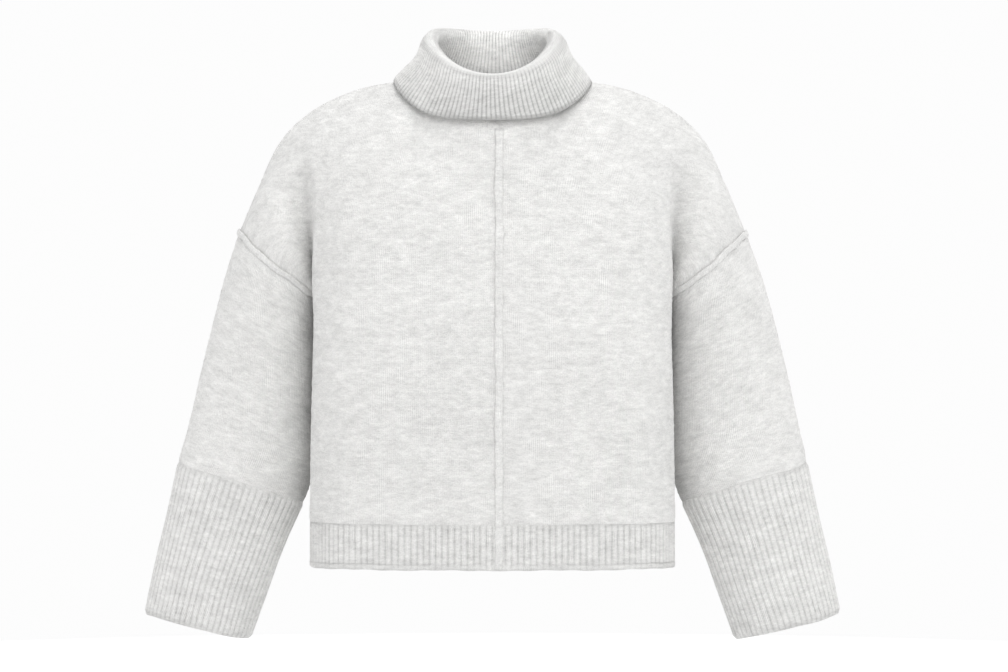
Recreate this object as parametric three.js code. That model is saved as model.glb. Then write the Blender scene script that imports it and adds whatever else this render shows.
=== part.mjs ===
// Cropped, boxy turtleneck sweater, worn form with nobody in it, arms hanging a little out.
// Millimetres, +Z up. The front faces -Y. Left and right are the wearer's, so left is +X.
// The origin is at the middle of the neck, level with the shoulders that carry the sweater.
import * as THREE from 'three';

// Driving sizes
const clothThickness = 3;
const ribThickness = 3;
const ribRise = 1.5;
const seamGap = 0.3;
const neckGap = 0.9;
// How far the pieces are drawn back where four meet at the underarm, and on the rows beside it
const panelUnderarmDraw = 0.6;
const sleeveUnderarmDraws = [1.3, 1, 0.5];
const centreSeamX = 7;
const hemTopZ = -471;
const hemBottomZ = -519.5;
const hemRibPitch = 7.3;
const hemPlainEdge = 6;
const cuffRibs = 46;
const collarRibs = 104;
const ovalGuides = 24;
const widestY = -40;
const torsoFullness = 2.25;
const sideSeamAngle = 110;

// Torso below the armpits: half width, front depth and back depth at each height
const torsoSections = [
  { z: hemTopZ, half: 196.5, front: -125, back: 107 },
  { z: -400, half: 196, front: -128, back: 110 },
  { z: -330, half: 194, front: -130, back: 112 },
  { z: -266, half: 192, front: -130, back: 112 },
];
const underarmSection = { z: -241, half: 191.5, front: -129, back: 111.5 };

// Angles round the torso of the guide columns, from the middle to the side seam
const frontAngles = { mid: 14, neck: 31, breast: 56, edge: 86, crease: 94, crown: 102 };
const backAngles = { mid: 165, neck: 147, breast: 133, edge: 122, crease: 117.5, crown: 113.5 };

// Upper body, a row for each guide line that runs from the middle out to the armhole.
// share is how far up the armhole the line ends, crease how deep the body folds over the arm.
const frontRows = [
  { share: 0.2, mid: [57, -122, -201], neck: [109, -114, -190], breast: [162, -93, -198],
    edge: [192, -49, -206], crease: 15, centreY: -127, centreZ: -205 },
  { share: 0.4, mid: [57, -116, -158], neck: [109, -104, -138], breast: [164, -84, -148],
    edge: [193.5, -50, -167], crease: 11, centreY: -121, centreZ: -168 },
  { share: 0.6, mid: [55, -102, -114], neck: [106, -82, -82], breast: [160, -66, -98],
    edge: [198, -46, -124], crease: 7, centreY: -111, centreZ: -130 },
  { share: 0.8, mid: [53, -80, -70], neck: [99, -46, -32], breast: [152, -32, -42],
    edge: [203, -28, -78], crease: 2, centreY: -96, centreZ: -92 },
];
const backRows = [
  { share: 0.2, mid: [58, 107, -184], neck: [112, 98, -178], breast: [144, 84, -192],
    edge: [166, 62, -212], crease: -2, centreY: 110, centreZ: -184 },
  { share: 0.4, mid: [57, 104, -130], neck: [110, 92, -118], breast: [150, 84, -136],
    edge: [180, 72, -162], crease: -2, centreY: 107, centreZ: -132 },
  { share: 0.6, mid: [56, 97, -78], neck: [106, 76, -64], breast: [152, 72, -86],
    edge: [190, 66, -114], crease: -1, centreY: 101, centreZ: -80 },
  { share: 0.8, mid: [54, 83, -28], neck: [99, 42, -16], breast: [148, 46, -36],
    edge: [198, 42, -68], crease: 0, centreY: 89, centreZ: -30 },
];

// Shoulder line from the neck to the top of the armhole
const shoulderLine = [
  [86, -3.5, 5], [108, -1, 0], [138, 3, -4], [166, 6, -13], [192, 9, -26], [214, 11, -43],
  [233, 13, -66], [252, 16, -106], [275, 18.5, -160],
];

// Rings round the arm. Each is an oval from its outer point to its inner one.
const armholeRing = { out: [275, -160], inn: [187, -238], y: 18.5, deep: 54, sag: 7 };
const crownRing = { out: [252, -106], inn: [184, -241], y: 15, deep: 50, sag: 4 };
const sleeveRings = [
  { out: [290, -207], inn: [189, -262], y: 26, deep: 53, sag: 3 },
  { out: [304, -259], inn: [188, -303], y: 33, deep: 52, sag: 0 },
  { out: [317, -311], inn: [188, -354], y: 37, deep: 51, sag: 0 },
  { out: [329, -363], inn: [190, -406], y: 37, deep: 50, sag: 0 },
  { out: [341, -409], inn: [209, -449], y: 33, deep: 48, sag: 0 },
];
const cuffRings = [
  { out: [341, -409], inn: [209, -449], y: 33, deep: 48 },
  { out: [352.6, -466], inn: [230, -506], y: 27, deep: 45.5 },
  { out: [364.5, -518], inn: [246, -551], y: 19, deep: 43.5 },
  { out: [375.5, -572], inn: [263, -600], y: 11, deep: 42 },
];

// Neckline of the body: half width, front and back depth, and height at front, side and back
const neckline = { half: 86, front: -76, back: 69, zFront: -52, zSide: 5, zBack: 14 };

// Collar rings in order round its folded wall. Ribbed rings show, plain ones lie inside the fold.
const collarRings = [
  { half: 106.5, front: -91, back: 88, zFront: -42, zSide: 2.6, zBack: 0, ribbed: true },
  { half: 96, front: -90, back: 86, zFront: -30, zSide: 13, zBack: 14, ribbed: true },
  { half: 84, front: -85, back: 79, zFront: -8, zSide: 28, zBack: 36, ribbed: true },
  { half: 77, front: -78, back: 70, zFront: 7, zSide: 46, zBack: 56, ribbed: true },
  { half: 69, front: -71, back: 61, zFront: 12, zSide: 53, zBack: 61, ribbed: true },
  { half: 60, front: -63, back: 52, zFront: 7, zSide: 47, zBack: 56, ribbed: true },
  { half: 67, front: -64, back: 56, zFront: -22, zSide: 25, zBack: 34, ribbed: true },
  { half: 84, front: -74, back: 67, zFront: -52, zSide: 5, zBack: 14, ribbed: true },
  { half: 88, front: -78, back: 71, zFront: -52, zSide: 5, zBack: 14, ribbed: false },
  { half: 72, front: -69.5, back: 61.5, zFront: -20, zSide: 27, zBack: 36, ribbed: false },
  { half: 70.5, front: -71.5, back: 62, zFront: 4, zSide: 44, zBack: 53, ribbed: false },
  { half: 92, front: -85, back: 80, zFront: -29, zSide: 14, zBack: 15, ribbed: false },
  { half: 102.5, front: -87, back: 83.5, zFront: -41.5, zSide: 3.1, zBack: 0.5, ribbed: false },
];

// Raised seams: half width and height over the cloth
const centreRidge = { reach: 4.6, rise: 3 };
const armholeRidge = { reach: 3.6, rise: 2.4 };

// Steps between guide columns and guide rows
const columnSteps = [3, 3, 2, 2, 1, 2, 2];
const lowerRowSteps = [1, 1, 2];
const upperRowSteps = [1, 2, 2, 2, 2, 2];

// Material colours of the wool
const woolColour = 0xe2e1df;
const ribColour = 0xd8d7d5;

const degrees = THREE.MathUtils.degToRad;
const vec = (p) => new THREE.Vector3(p[0], p[1], p[2]);
const along = (a, b, t) => a.clone().lerp(b, t);
const power = (value, exponent) => Math.sign(value) * Math.abs(value) ** exponent;

// Point of the torso section at an angle, 0 at the middle front and 180 at the middle back
function torsoPoint(section, angle) {
  const exponent = 2 / torsoFullness;
  const depth = Math.cos(degrees(angle)) >= 0 ? widestY - section.front : section.back - widestY;
  const x = section.half * power(Math.sin(degrees(angle)), exponent);
  const y = widestY - depth * power(Math.cos(degrees(angle)), exponent);
  return vec([x, y, section.z]);
}

// Point of an arm ring, 0 at the underarm and 180 at the top, by the front (-1) or back (+1)
function armPoint(ring, angle, face, inset = 0) {
  const outer = vec([ring.out[0], ring.y, ring.out[1]]);
  const inner = vec([ring.inn[0], ring.y, ring.inn[1]]);
  const middle = along(outer, inner, 0.5);
  const reach = outer.clone().sub(middle);
  reach.setLength(reach.length() - inset);
  const point = middle.clone().addScaledVector(reach, -Math.cos(degrees(angle)));
  point.y += face * (ring.deep - inset) * Math.sin(degrees(angle));
  const down = new THREE.Vector3(0.29, 0, -0.956);
  return point.addScaledVector(down, (ring.sag ?? 0) * Math.sin(degrees(angle)));
}

// Height round a neck ring: smooth through its front, side and back heights
function neckHeight(ring, turn) {
  const mean = (ring.zFront + 2 * ring.zSide + ring.zBack) / 4;
  const tilt = (ring.zBack - ring.zFront) / 2;
  const saddle = (ring.zFront + ring.zBack) / 4 - ring.zSide / 2;
  return mean - tilt * Math.cos(turn) + saddle * Math.cos(2 * turn);
}

// Point of a neck ring, turn 0 at the front and positive to the wearer's left
function neckPoint(ring, turn, out = 0) {
  const middle = (ring.front + ring.back) / 2;
  const depth = (ring.back - ring.front) / 2;
  const x = (ring.half + out) * Math.sin(turn);
  const y = middle - (depth + out) * Math.cos(turn);
  return vec([x, y, neckHeight(ring, turn)]);
}

// Smooth curve through guide points, with its own number of steps between each pair
function throughPoints(points, steps) {
  const curve = new THREE.CatmullRomCurve3(points, false, 'centripetal');
  const result = [points[0].clone()];
  for (let span = 0; span < steps.length; span += 1) {
    for (let step = 1; step <= steps[span]; step += 1) {
      result.push(curve.getPoint((span + step / steps[span]) / steps.length));
    }
  }
  return result;
}

function mirrored(point, side) {
  return vec([point.x * side, point.y, point.z]);
}

// Guide row of a panel below the armpit
function lowerRow(section, angles, face, side, lift = {}) {
  const middle = torsoPoint(section, face < 0 ? 0 : 180);
  const start = face < 0 ? vec([centreSeamX, middle.y, middle.z]) : middle;
  const names = ['mid', 'neck', 'breast', 'edge', 'crease', 'crown'];
  const guides = names.map((name) => mirrored(lift[name] ?? torsoPoint(section, angles[name]), side));
  const last = lift.seam ?? torsoPoint(section, sideSeamAngle);
  return throughPoints([start, ...guides, mirrored(last, side)], columnSteps);
}

// Guide row of a panel above the armpit, which ends on the armhole
function upperRow(row, face, side) {
  const startX = face < 0 ? centreSeamX : 0;
  const start = vec([startX, row.centreY, row.centreZ]);
  const edge = vec(row.edge);
  const crown = armPoint(crownRing, 180 * row.share, face);
  const crease = along(edge, crown, 0.35);
  crease.y -= face * row.crease;
  const seam = armPoint(armholeRing, 180 * row.share, face);
  const guides = [vec(row.mid), vec(row.neck), vec(row.breast), edge, crease, crown, seam];
  return throughPoints([start, ...guides.map((p) => mirrored(p, side))], columnSteps);
}

// Top row of a panel: half the neckline, then the shoulder line
function topRow(face, side) {
  const neckColumns = columnSteps[0] + columnSteps[1];
  const startX = face < 0 ? centreSeamX * side : 0;
  const startTurn = face < 0 ? Math.asin(startX / neckline.half) : Math.PI;
  const row = [];
  for (let step = 0; step <= neckColumns; step += 1) {
    const turn = THREE.MathUtils.lerp(startTurn, Math.PI / 2, step / neckColumns);
    row.push(mirrored(neckPoint(neckline, turn), side));
  }
  const shoulderColumns = columnSteps.slice(2).reduce((sum, steps) => sum + steps, 0);
  const shoulder = new THREE.CatmullRomCurve3(shoulderLine.map(vec), false, 'centripetal');
  for (let step = 1; step <= shoulderColumns; step += 1) {
    row.push(mirrored(shoulder.getPointAt(step / shoulderColumns), side));
  }
  return row;
}

// Outer points of half a front or back, rows from the hem up and columns from the middle out
function panelGrid(face, side) {
  const angles = face < 0 ? frontAngles : backAngles;
  const rows = torsoSections.map((section) => lowerRow(section, angles, face, side));
  const seam = armPoint(armholeRing, 0, face);
  const crown = face < 0 ? vec([184, 2, -244]) : vec([181, 28, -244]);
  rows.push(lowerRow(underarmSection, angles, face, side, { crown, seam }));
  const table = face < 0 ? frontRows : backRows;
  table.forEach((row) => rows.push(upperRow(row, face, side)));
  rows.push(topRow(face, side));
  const steps = [...lowerRowSteps, ...upperRowSteps];
  const columns = rows[0].map((_, j) => throughPoints(rows.map((row) => row[j]), steps));
  return columns[0].map((_, i) => columns.map((column) => column[i]));
}

const underarmRow = lowerRowSteps.reduce((sum, steps) => sum + steps, 0) + upperRowSteps[0];
const armRows = upperRowSteps.slice(1).reduce((sum, steps) => sum + steps, 0);

// Points round the armhole, from the underarm up the front and down the back
function armholeLoop(front, back) {
  const last = front[0].length - 1;
  const up = front.slice(underarmRow).map((row) => row[last]);
  const down = back.slice(underarmRow + 1, -1).map((row) => row[last]).reverse();
  return [...up, ...down];
}

// Outer points of a sleeve, a row for each ring, starting on the armhole
function sleeveGrid(loop, side) {
  const columns = loop.map((start, k) => {
    const angle = (180 * k) / armRows;
    const face = angle <= 180 ? -1 : 1;
    const turned = angle <= 180 ? angle : 360 - angle;
    const guides = sleeveRings.map((ring) => mirrored(armPoint(ring, turned, face), side));
    return throughPoints([start, ...guides], [1, 2, 2, 2, 2]);
  });
  return columns[0].map((_, i) => columns.map((column) => column[i]));
}

// A closed mesh gathered from triangles, with equal points joined and its faces turned outwards
class Shell {
  constructor() {
    this.points = [];
    this.index = [];
    this.known = new Map();
  }

  number(point) {
    const key = point.toArray().map((value) => Math.round(value * 10000)).join(' ');
    if (!this.known.has(key)) {
      this.known.set(key, this.points.length);
      this.points.push(point);
    }
    return this.known.get(key);
  }

  triangle(a, b, c) {
    const corners = [this.number(a), this.number(b), this.number(c)];
    if (new Set(corners).size === 3) this.index.push(...corners);
  }

  quad(a, b, c, d) {
    this.triangle(a, b, c);
    this.triangle(a, c, d);
  }

  volume() {
    let sum = 0;
    for (let i = 0; i < this.index.length; i += 3) {
      const [a, b, c] = [0, 1, 2].map((k) => this.points[this.index[i + k]]);
      sum += a.dot(b.clone().cross(c)) / 6;
    }
    return sum;
  }

  geometry() {
    const geometry = new THREE.BufferGeometry();
    const flat = this.points.flatMap((point) => point.toArray());
    const index = this.volume() < 0 ? [...this.index].reverse() : this.index;
    geometry.setAttribute('position', new THREE.Float32BufferAttribute(flat, 3));
    geometry.setIndex(index);
    geometry.computeVertexNormals();
    return geometry;
  }
}

// Wall between an outer and an inner grid of the same size, open or closed along its rows
function gridWall(outer, inner, closed) {
  const shell = new Shell();
  const last = outer.length - 1;
  const across = outer[0].length;
  const columns = closed ? across : across - 1;
  for (let j = 0; j < columns; j += 1) {
    const next = (j + 1) % across;
    for (let i = 0; i < last; i += 1) {
      shell.quad(outer[i][j], outer[i][next], outer[i + 1][next], outer[i + 1][j]);
      shell.quad(inner[i][j], inner[i + 1][j], inner[i + 1][next], inner[i][next]);
    }
    shell.quad(outer[0][next], outer[0][j], inner[0][j], inner[0][next]);
    shell.quad(outer[last][j], outer[last][next], inner[last][next], inner[last][j]);
  }
  for (let i = 0; i < last && !closed; i += 1) {
    const end = across - 1;
    shell.quad(outer[i][0], outer[i + 1][0], inner[i + 1][0], inner[i][0]);
    shell.quad(outer[i + 1][end], outer[i][end], inner[i][end], inner[i + 1][end]);
  }
  return shell.geometry();
}

// Wall whose section is a ring of rows. A ribbed row has two points for each one of a plain row.
function ribbedWall(rows, ribs, closed) {
  const shell = new Shell();
  const point = (row, half) => {
    const step = row.ribbed ? half : half / 2;
    const count = row.points.length;
    return row.points[closed ? step % count : step];
  };
  rows.forEach((row, r) => {
    const next = rows[(r + 1) % rows.length];
    for (let rib = 0; rib < ribs; rib += 1) {
      const [start, middle, end] = [2 * rib, 2 * rib + 1, 2 * rib + 2];
      if (row.ribbed && next.ribbed) {
        shell.quad(point(row, start), point(row, middle), point(next, middle), point(next, start));
        shell.quad(point(row, middle), point(row, end), point(next, end), point(next, middle));
      } else if (row.ribbed) {
        shell.triangle(point(row, start), point(row, middle), point(next, start));
        shell.triangle(point(row, middle), point(row, end), point(next, end));
        shell.triangle(point(row, middle), point(next, end), point(next, start));
      } else if (next.ribbed) {
        shell.triangle(point(row, start), point(next, middle), point(next, start));
        shell.triangle(point(row, end), point(next, end), point(next, middle));
        shell.triangle(point(row, start), point(row, end), point(next, middle));
      } else {
        shell.quad(point(row, start), point(row, end), point(next, end), point(next, start));
      }
    }
  });
  if (!closed) {
    for (let r = 1; r < rows.length - 1; r += 1) {
      const ends = [0, 2 * ribs];
      const [a, b, c] = [0, r, r + 1].map((k) => rows[k]);
      shell.triangle(point(a, ends[0]), point(b, ends[0]), point(c, ends[0]));
      shell.triangle(point(a, ends[1]), point(c, ends[1]), point(b, ends[1]));
    }
  }
  return shell.geometry();
}

// Normals of the whole outer surface, found by place, so that joined pieces share them at a seam
class OuterSurface {
  constructor() {
    this.shell = new Shell();
    this.sums = [];
  }

  add(grid, closed, flip) {
    const across = grid[0].length;
    for (let i = 0; i < grid.length - 1; i += 1) {
      for (let j = 0; j < (closed ? across : across - 1); j += 1) {
        const next = (j + 1) % across;
        const corners = [grid[i][j], grid[i][next], grid[i + 1][next], grid[i + 1][j]];
        if (flip) corners.reverse();
        const [a, b, c, d] = corners;
        const normal = c.clone().sub(a).cross(d.clone().sub(b));
        corners.forEach((corner) => {
          const number = this.shell.number(corner);
          this.sums[number] = (this.sums[number] ?? new THREE.Vector3()).add(normal);
        });
      }
    }
  }

  normal(point) {
    return this.sums[this.shell.number(point)].clone().normalize();
  }

  setNormal(point, normal) {
    this.sums[this.shell.number(point)] = vec(normal).normalize();
  }
}

const shift = (point, direction, distance) => point.clone().addScaledVector(direction, distance);

// Direction in the surface from a border point to its neighbour further in
function inwards(point, neighbour, normal) {
  const direction = neighbour.clone().sub(point);
  return direction.addScaledVector(normal, -direction.dot(normal)).normalize();
}

function mesh(name, geometry, colour) {
  const material = new THREE.MeshStandardMaterial({ color: colour, roughness: 0.95, metalness: 0 });
  const result = new THREE.Mesh(geometry, material);
  result.name = name;
  return result;
}

const surface = new OuterSurface();
const grids = {};
for (const side of [1, -1]) {
  const front = panelGrid(-1, side);
  const back = panelGrid(1, side);
  const sleeve = sleeveGrid(armholeLoop(front, back), side);
  grids[side] = { front, back, sleeve };
  surface.add(front, false, side < 0);
  surface.add(back, false, side > 0);
  surface.add(sleeve, true, side > 0);
  surface.setNormal(sleeve[0][0], [0, 0, -1]);
}

// Normal used for a wall: level along the hem, in the ring's own plane at the end of a sleeve
function wallNormal(point, level) {
  const normal = surface.normal(point);
  return level ? normal.addScaledVector(level, -normal.dot(level)).normalize() : normal;
}

const upwards = new THREE.Vector3(0, 0, 1);

// How far a panel's border point is drawn in at a side seam or armhole
function seamDraw(row) {
  return row === underarmRow ? panelUnderarmDraw : seamGap / 2;
}

// Half a front: border points are drawn in by half the seam gap
function panelWall(grid) {
  const last = grid.length - 1;
  const end = grid[0].length - 1;
  const neckEnd = columnSteps[0] + columnSteps[1];
  const outer = grid.map((row, i) => row.map((point, j) => {
    const normal = wallNormal(point, i === 0 ? upwards : null);
    let moved = point.clone();
    const draw = (neighbour, distance) => {
      moved = shift(moved, inwards(point, neighbour, normal), distance);
    };
    if (j === 0) draw(row[1], seamGap / 2);
    if (j === end) draw(row[end - 1], seamDraw(i));
    if (i === last && j >= neckEnd) draw(grid[last - 1][j], seamGap / 2);
    return moved;
  }));
  const inner = grid.map((row, i) => row.map((point, j) => {
    const normal = wallNormal(point, i === 0 ? upwards : null);
    return shift(outer[i][j], normal, -clothThickness);
  }));
  return gridWall(outer, inner, false);
}

// The whole back, from the right side seam to the left one
function backWall() {
  const end = grids[1].back[0].length - 1;
  const neckEnd = columnSteps[0] + columnSteps[1];
  const grid = grids[1].back.map((row, i) => [...grids[-1].back[i].slice(1).reverse(), ...row]);
  const last = grid.length - 1;
  const outer = grid.map((row, i) => row.map((point, j) => {
    const normal = wallNormal(point, i === 0 ? upwards : null);
    let moved = point.clone();
    if (j === 0 || j === 2 * end) {
      const neighbour = j === 0 ? row[1] : row[2 * end - 1];
      moved = shift(moved, inwards(point, neighbour, normal), seamDraw(i));
    }
    if (i === last && Math.abs(j - end) >= neckEnd) {
      moved = shift(moved, inwards(point, grid[last - 1][j], normal), seamGap / 2);
    }
    return moved;
  }));
  const inner = grid.map((row, i) => row.map((point, j) => {
    const normal = wallNormal(point, i === 0 ? upwards : null);
    return shift(outer[i][j], normal, -clothThickness);
  }));
  return gridWall(outer, inner, false);
}

// Sleeve wall, a closed tube from the armhole to the cuff
function sleeveWall(side) {
  const grid = grids[side].sleeve;
  const last = grid.length - 1;
  const axis = ringAxis(sleeveRings[sleeveRings.length - 1], side);
  const outer = grid.map((row, i) => row.map((point, j) => {
    if (i > 0) return point.clone();
    const direction = inwards(point, grid[1][j], wallNormal(point, null));
    return shift(point, direction, sleeveUnderarmDraws[Math.min(j, row.length - j)] ?? seamGap / 2);
  }));
  const inner = grid.map((row, i) => row.map((point, j) => {
    const normal = wallNormal(point, i === last ? axis : null);
    return shift(outer[i][j], normal, -clothThickness);
  }));
  return gridWall(outer, inner, true);
}

// Direction along the arm, square to a ring and towards the hand
function ringAxis(ring, side) {
  const rise = ring.out[1] - ring.inn[1];
  const run = ring.out[0] - ring.inn[0];
  return vec([side * rise, 0, -run]).normalize();
}

// Even places round a closed or open line of points
function evenly(points, count, closed) {
  const curve = new THREE.CatmullRomCurve3(points, closed, 'centripetal');
  curve.arcLengthDivisions = 400;
  const spaced = curve.getSpacedPoints(count);
  return closed ? spaced.slice(0, count) : spaced;
}

// Cuff: ribs run down the arm, raised in the outer points
function cuffWall(side) {
  const axis = ringAxis(cuffRings[0], side);
  const ovalPoints = (ring, count, inset) => {
    const oval = [];
    for (let k = 0; k < ovalGuides; k += 1) {
      const angle = (360 * k) / ovalGuides;
      const face = angle <= 180 ? -1 : 1;
      const turned = angle <= 180 ? angle : 360 - angle;
      oval.push(mirrored(armPoint(ring, turned, face, inset), side));
    }
    return evenly(oval, count, true);
  };
  const row = (ring, ribbed, inset, drop, rise) => {
    const base = ovalPoints(ring, ribbed ? 2 * cuffRibs : cuffRibs, inset);
    const raised = ovalPoints(ring, ribbed ? 2 * cuffRibs : cuffRibs, inset - rise);
    const points = base.map((point, k) => (ribbed && k % 2 ? raised[k] : point));
    return { ribbed, points: points.map((point) => shift(point, axis, drop)) };
  };
  const [top, upper, lower, bottom] = cuffRings;
  const rows = [
    row(top, true, 0.6, seamGap, 0.5),
    row(upper, true, 0, 0, ribRise),
    row(lower, true, 0, 0, ribRise),
    row(bottom, true, 0, -3, ribRise),
    row(bottom, true, 1.2, 0, 0.6),
    row(bottom, false, ribThickness, 0, 0),
    row(lower, false, ribThickness, 0, 0),
    row(upper, false, ribThickness, 0, 0),
    row(top, false, ribThickness, seamGap, 0),
  ];
  return ribbedWall(rows, cuffRibs, true);
}

// Level line of the torso just above the hem, seen from above, between two seams
function hemLine(name) {
  const rowOf = (face, side) => grids[side][face][0];
  if (name === 'left') return rowOf('front', 1);
  if (name === 'right') return rowOf('front', -1);
  return [...rowOf('back', -1).slice(1).reverse(), ...rowOf('back', 1)];
}

// Hem band: ribs run down, raised in the outer points. The plain ends are at the seams.
function hemWall(name) {
  const line = hemLine(name);
  const curve = new THREE.CatmullRomCurve3(line, false, 'centripetal');
  curve.arcLengthDivisions = 400;
  const length = curve.getLength();
  const plain = name === 'back' ? seamGap / 2 : hemPlainEdge;
  const ribs = Math.round((length - plain) / hemRibPitch);
  const centre = new THREE.Vector3(0, widestY, hemTopZ);
  const place = (half, z, out) => {
    const inner = THREE.MathUtils.lerp(plain, length - seamGap / 2, (half - 2) / (2 * ribs - 2));
    const distance = half < 2 ? THREE.MathUtils.lerp(seamGap / 2, plain + 1, half / 2) : inner;
    const fraction = Math.min(distance / length, 1);
    const point = curve.getPointAt(fraction);
    const normal = curve.getTangentAt(fraction).cross(upwards);
    normal.setZ(0).normalize();
    if (normal.dot(point.clone().sub(centre)) < 0) normal.negate();
    return shift(point, normal, out).setZ(z);
  };
  const row = (z, ribbed, out, rise) => {
    const points = [];
    for (let half = 0; half <= 2 * ribs; half += ribbed ? 1 : 2) {
      const raised = ribbed && half % 2 === 1 && half > 1;
      points.push(place(half, z, out + (raised ? rise : 0)));
    }
    return { ribbed, points };
  };
  const rows = [
    row(hemTopZ - seamGap, true, 0, 0.3),
    row(hemTopZ - 6, true, 0, ribRise),
    row(hemBottomZ + 3, true, 0, ribRise),
    row(hemBottomZ, true, -1, 0.6),
    row(hemBottomZ, false, -ribThickness, 0),
    row(hemTopZ - seamGap, false, -ribThickness, 0),
  ];
  return ribbedWall(rows, ribs, false);
}

// Folded collar: one ribbed wall up from the neckline, over, and down outside itself
function collarWall() {
  const rows = collarRings.map((ring, r) => {
    const points = [];
    const count = ring.ribbed ? 2 * collarRibs : collarRibs;
    const outside = r <= 4 ? 1 : -1;
    for (let k = 0; k < count; k += 1) {
      const turn = (2 * Math.PI * k) / count;
      const raised = ring.ribbed && k % 2 === 1 ? outside * 0.7 : 0;
      const point = neckPoint(ring, turn, raised);
      point.z += neckGap;
      points.push(point);
    }
    return { ribbed: ring.ribbed, points };
  });
  return ribbedWall(rows, collarRibs, true);
}

// Raised seam: a low rounded strip over two borders, from surface points moved out
function ridgeWall(stations, size) {
  const profile = [[-1, 0], [-0.8, 0.75], [0, 1], [0.8, 0.75], [1, 0], [0, 0]];
  const lift = 0.35;
  const tightLift = 4;
  const rows = profile.map(([across, up]) => ({
    ribbed: false,
    points: stations.map(({ point, normal, left, right, scale }) => {
      const direction = across < 0 ? left : right;
      const base = shift(point, direction, Math.abs(across) * size.reach * scale);
      return shift(base, normal, lift + tightLift * (1 - scale) + up * size.rise * scale);
    }),
  }));
  return ribbedWall(rows, stations.length - 1, false);
}

function centreRidgeStations() {
  const stations = grids[1].front.map((row, i) => {
    const normal = wallNormal(row[0], i === 0 ? upwards : null);
    const left = inwards(row[0], grids[-1].front[i][1], normal);
    const right = inwards(row[0], row[1], normal);
    return { point: row[0].clone(), normal, left, right, scale: 1 };
  });
  const bottom = { ...stations[0], point: stations[0].point.clone().setZ(hemBottomZ + 0.5) };
  const top = stations[stations.length - 1];
  top.point = along(top.point, stations[stations.length - 2].point, 0.12);
  return [bottom, ...stations];
}

function armholeRidgeStations(side) {
  const { front, back, sleeve } = grids[side];
  const end = front[0].length - 1;
  const count = sleeve[0].length;
  const stations = [];
  for (let k = 2; k < count - 1; k += 1) {
    const point = sleeve[0][k];
    const normal = wallNormal(point, null);
    const row = k <= armRows ? underarmRow + k : underarmRow + count - k;
    const panel = k <= armRows ? front : back;
    const left = inwards(point, panel[row][end - 1], normal);
    const right = inwards(point, sleeve[1][k], normal);
    const scale = Math.min(1, Math.min(k, count - k) / 3);
    stations.push({ point, normal, left, right, scale });
  }
  return stations;
}

const sweater = new THREE.Group();
const body = new THREE.Group();
body.add(mesh('front_left', panelWall(grids[1].front), woolColour));
body.add(mesh('front_right', panelWall(grids[-1].front), woolColour));
body.add(mesh('back', backWall(), woolColour));
body.add(mesh('hem_front_left', hemWall('left'), ribColour));
body.add(mesh('hem_front_right', hemWall('right'), ribColour));
body.add(mesh('hem_back', hemWall('back'), ribColour));
body.add(mesh('seam_ridge_centre', ridgeWall(centreRidgeStations(), centreRidge), woolColour));
sweater.add(body);

for (const [name, side] of [['left', 1], ['right', -1]]) {
  const arm = new THREE.Group();
  arm.add(mesh(`sleeve_${name}`, sleeveWall(side), woolColour));
  arm.add(mesh(`cuff_${name}`, cuffWall(side), ribColour));
  const ridge = ridgeWall(armholeRidgeStations(side), armholeRidge);
  arm.add(mesh(`seam_ridge_armhole_${name}`, ridge, woolColour));
  sweater.add(arm);
}

const neck = new THREE.Group();
neck.add(mesh('collar', collarWall(), ribColour));
sweater.add(neck);

export default sweater;
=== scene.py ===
import math

import bpy
import numpy as np
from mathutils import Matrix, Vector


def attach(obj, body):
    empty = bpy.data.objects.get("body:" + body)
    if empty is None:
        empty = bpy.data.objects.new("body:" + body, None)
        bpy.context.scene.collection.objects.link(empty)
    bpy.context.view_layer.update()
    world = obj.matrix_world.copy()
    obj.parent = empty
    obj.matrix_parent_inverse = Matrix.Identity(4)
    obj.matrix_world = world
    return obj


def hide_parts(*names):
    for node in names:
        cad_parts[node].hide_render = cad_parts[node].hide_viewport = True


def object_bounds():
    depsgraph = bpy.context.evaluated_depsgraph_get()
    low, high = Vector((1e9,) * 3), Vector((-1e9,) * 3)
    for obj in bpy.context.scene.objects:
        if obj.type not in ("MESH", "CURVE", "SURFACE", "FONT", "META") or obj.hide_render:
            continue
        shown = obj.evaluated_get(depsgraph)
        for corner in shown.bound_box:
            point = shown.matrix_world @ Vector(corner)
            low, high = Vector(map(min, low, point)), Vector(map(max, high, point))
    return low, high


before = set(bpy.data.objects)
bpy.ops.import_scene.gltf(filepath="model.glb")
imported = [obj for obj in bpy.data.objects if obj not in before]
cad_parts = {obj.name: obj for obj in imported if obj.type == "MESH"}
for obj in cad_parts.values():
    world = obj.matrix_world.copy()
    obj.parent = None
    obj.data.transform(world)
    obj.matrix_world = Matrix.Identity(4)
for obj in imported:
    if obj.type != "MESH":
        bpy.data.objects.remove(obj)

# Camera: level with the chest, square to the front, on a long lens. The photo is 1008 pixels wide
# and shows 1.08 mm a pixel at the sweater, whose middle is at pixel 492.5 and shoulders at row 84.
cad_low, cad_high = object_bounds()
MM = 0.001
PHOTO_SIZE = (1008, 672)
MM_PER_PIXEL = 1.08
MIDDLE_PIXEL = 492.5
SHOULDER_ROW = 84
CAMERA_DISTANCE = 5.0
SENSOR = 36.0

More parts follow.
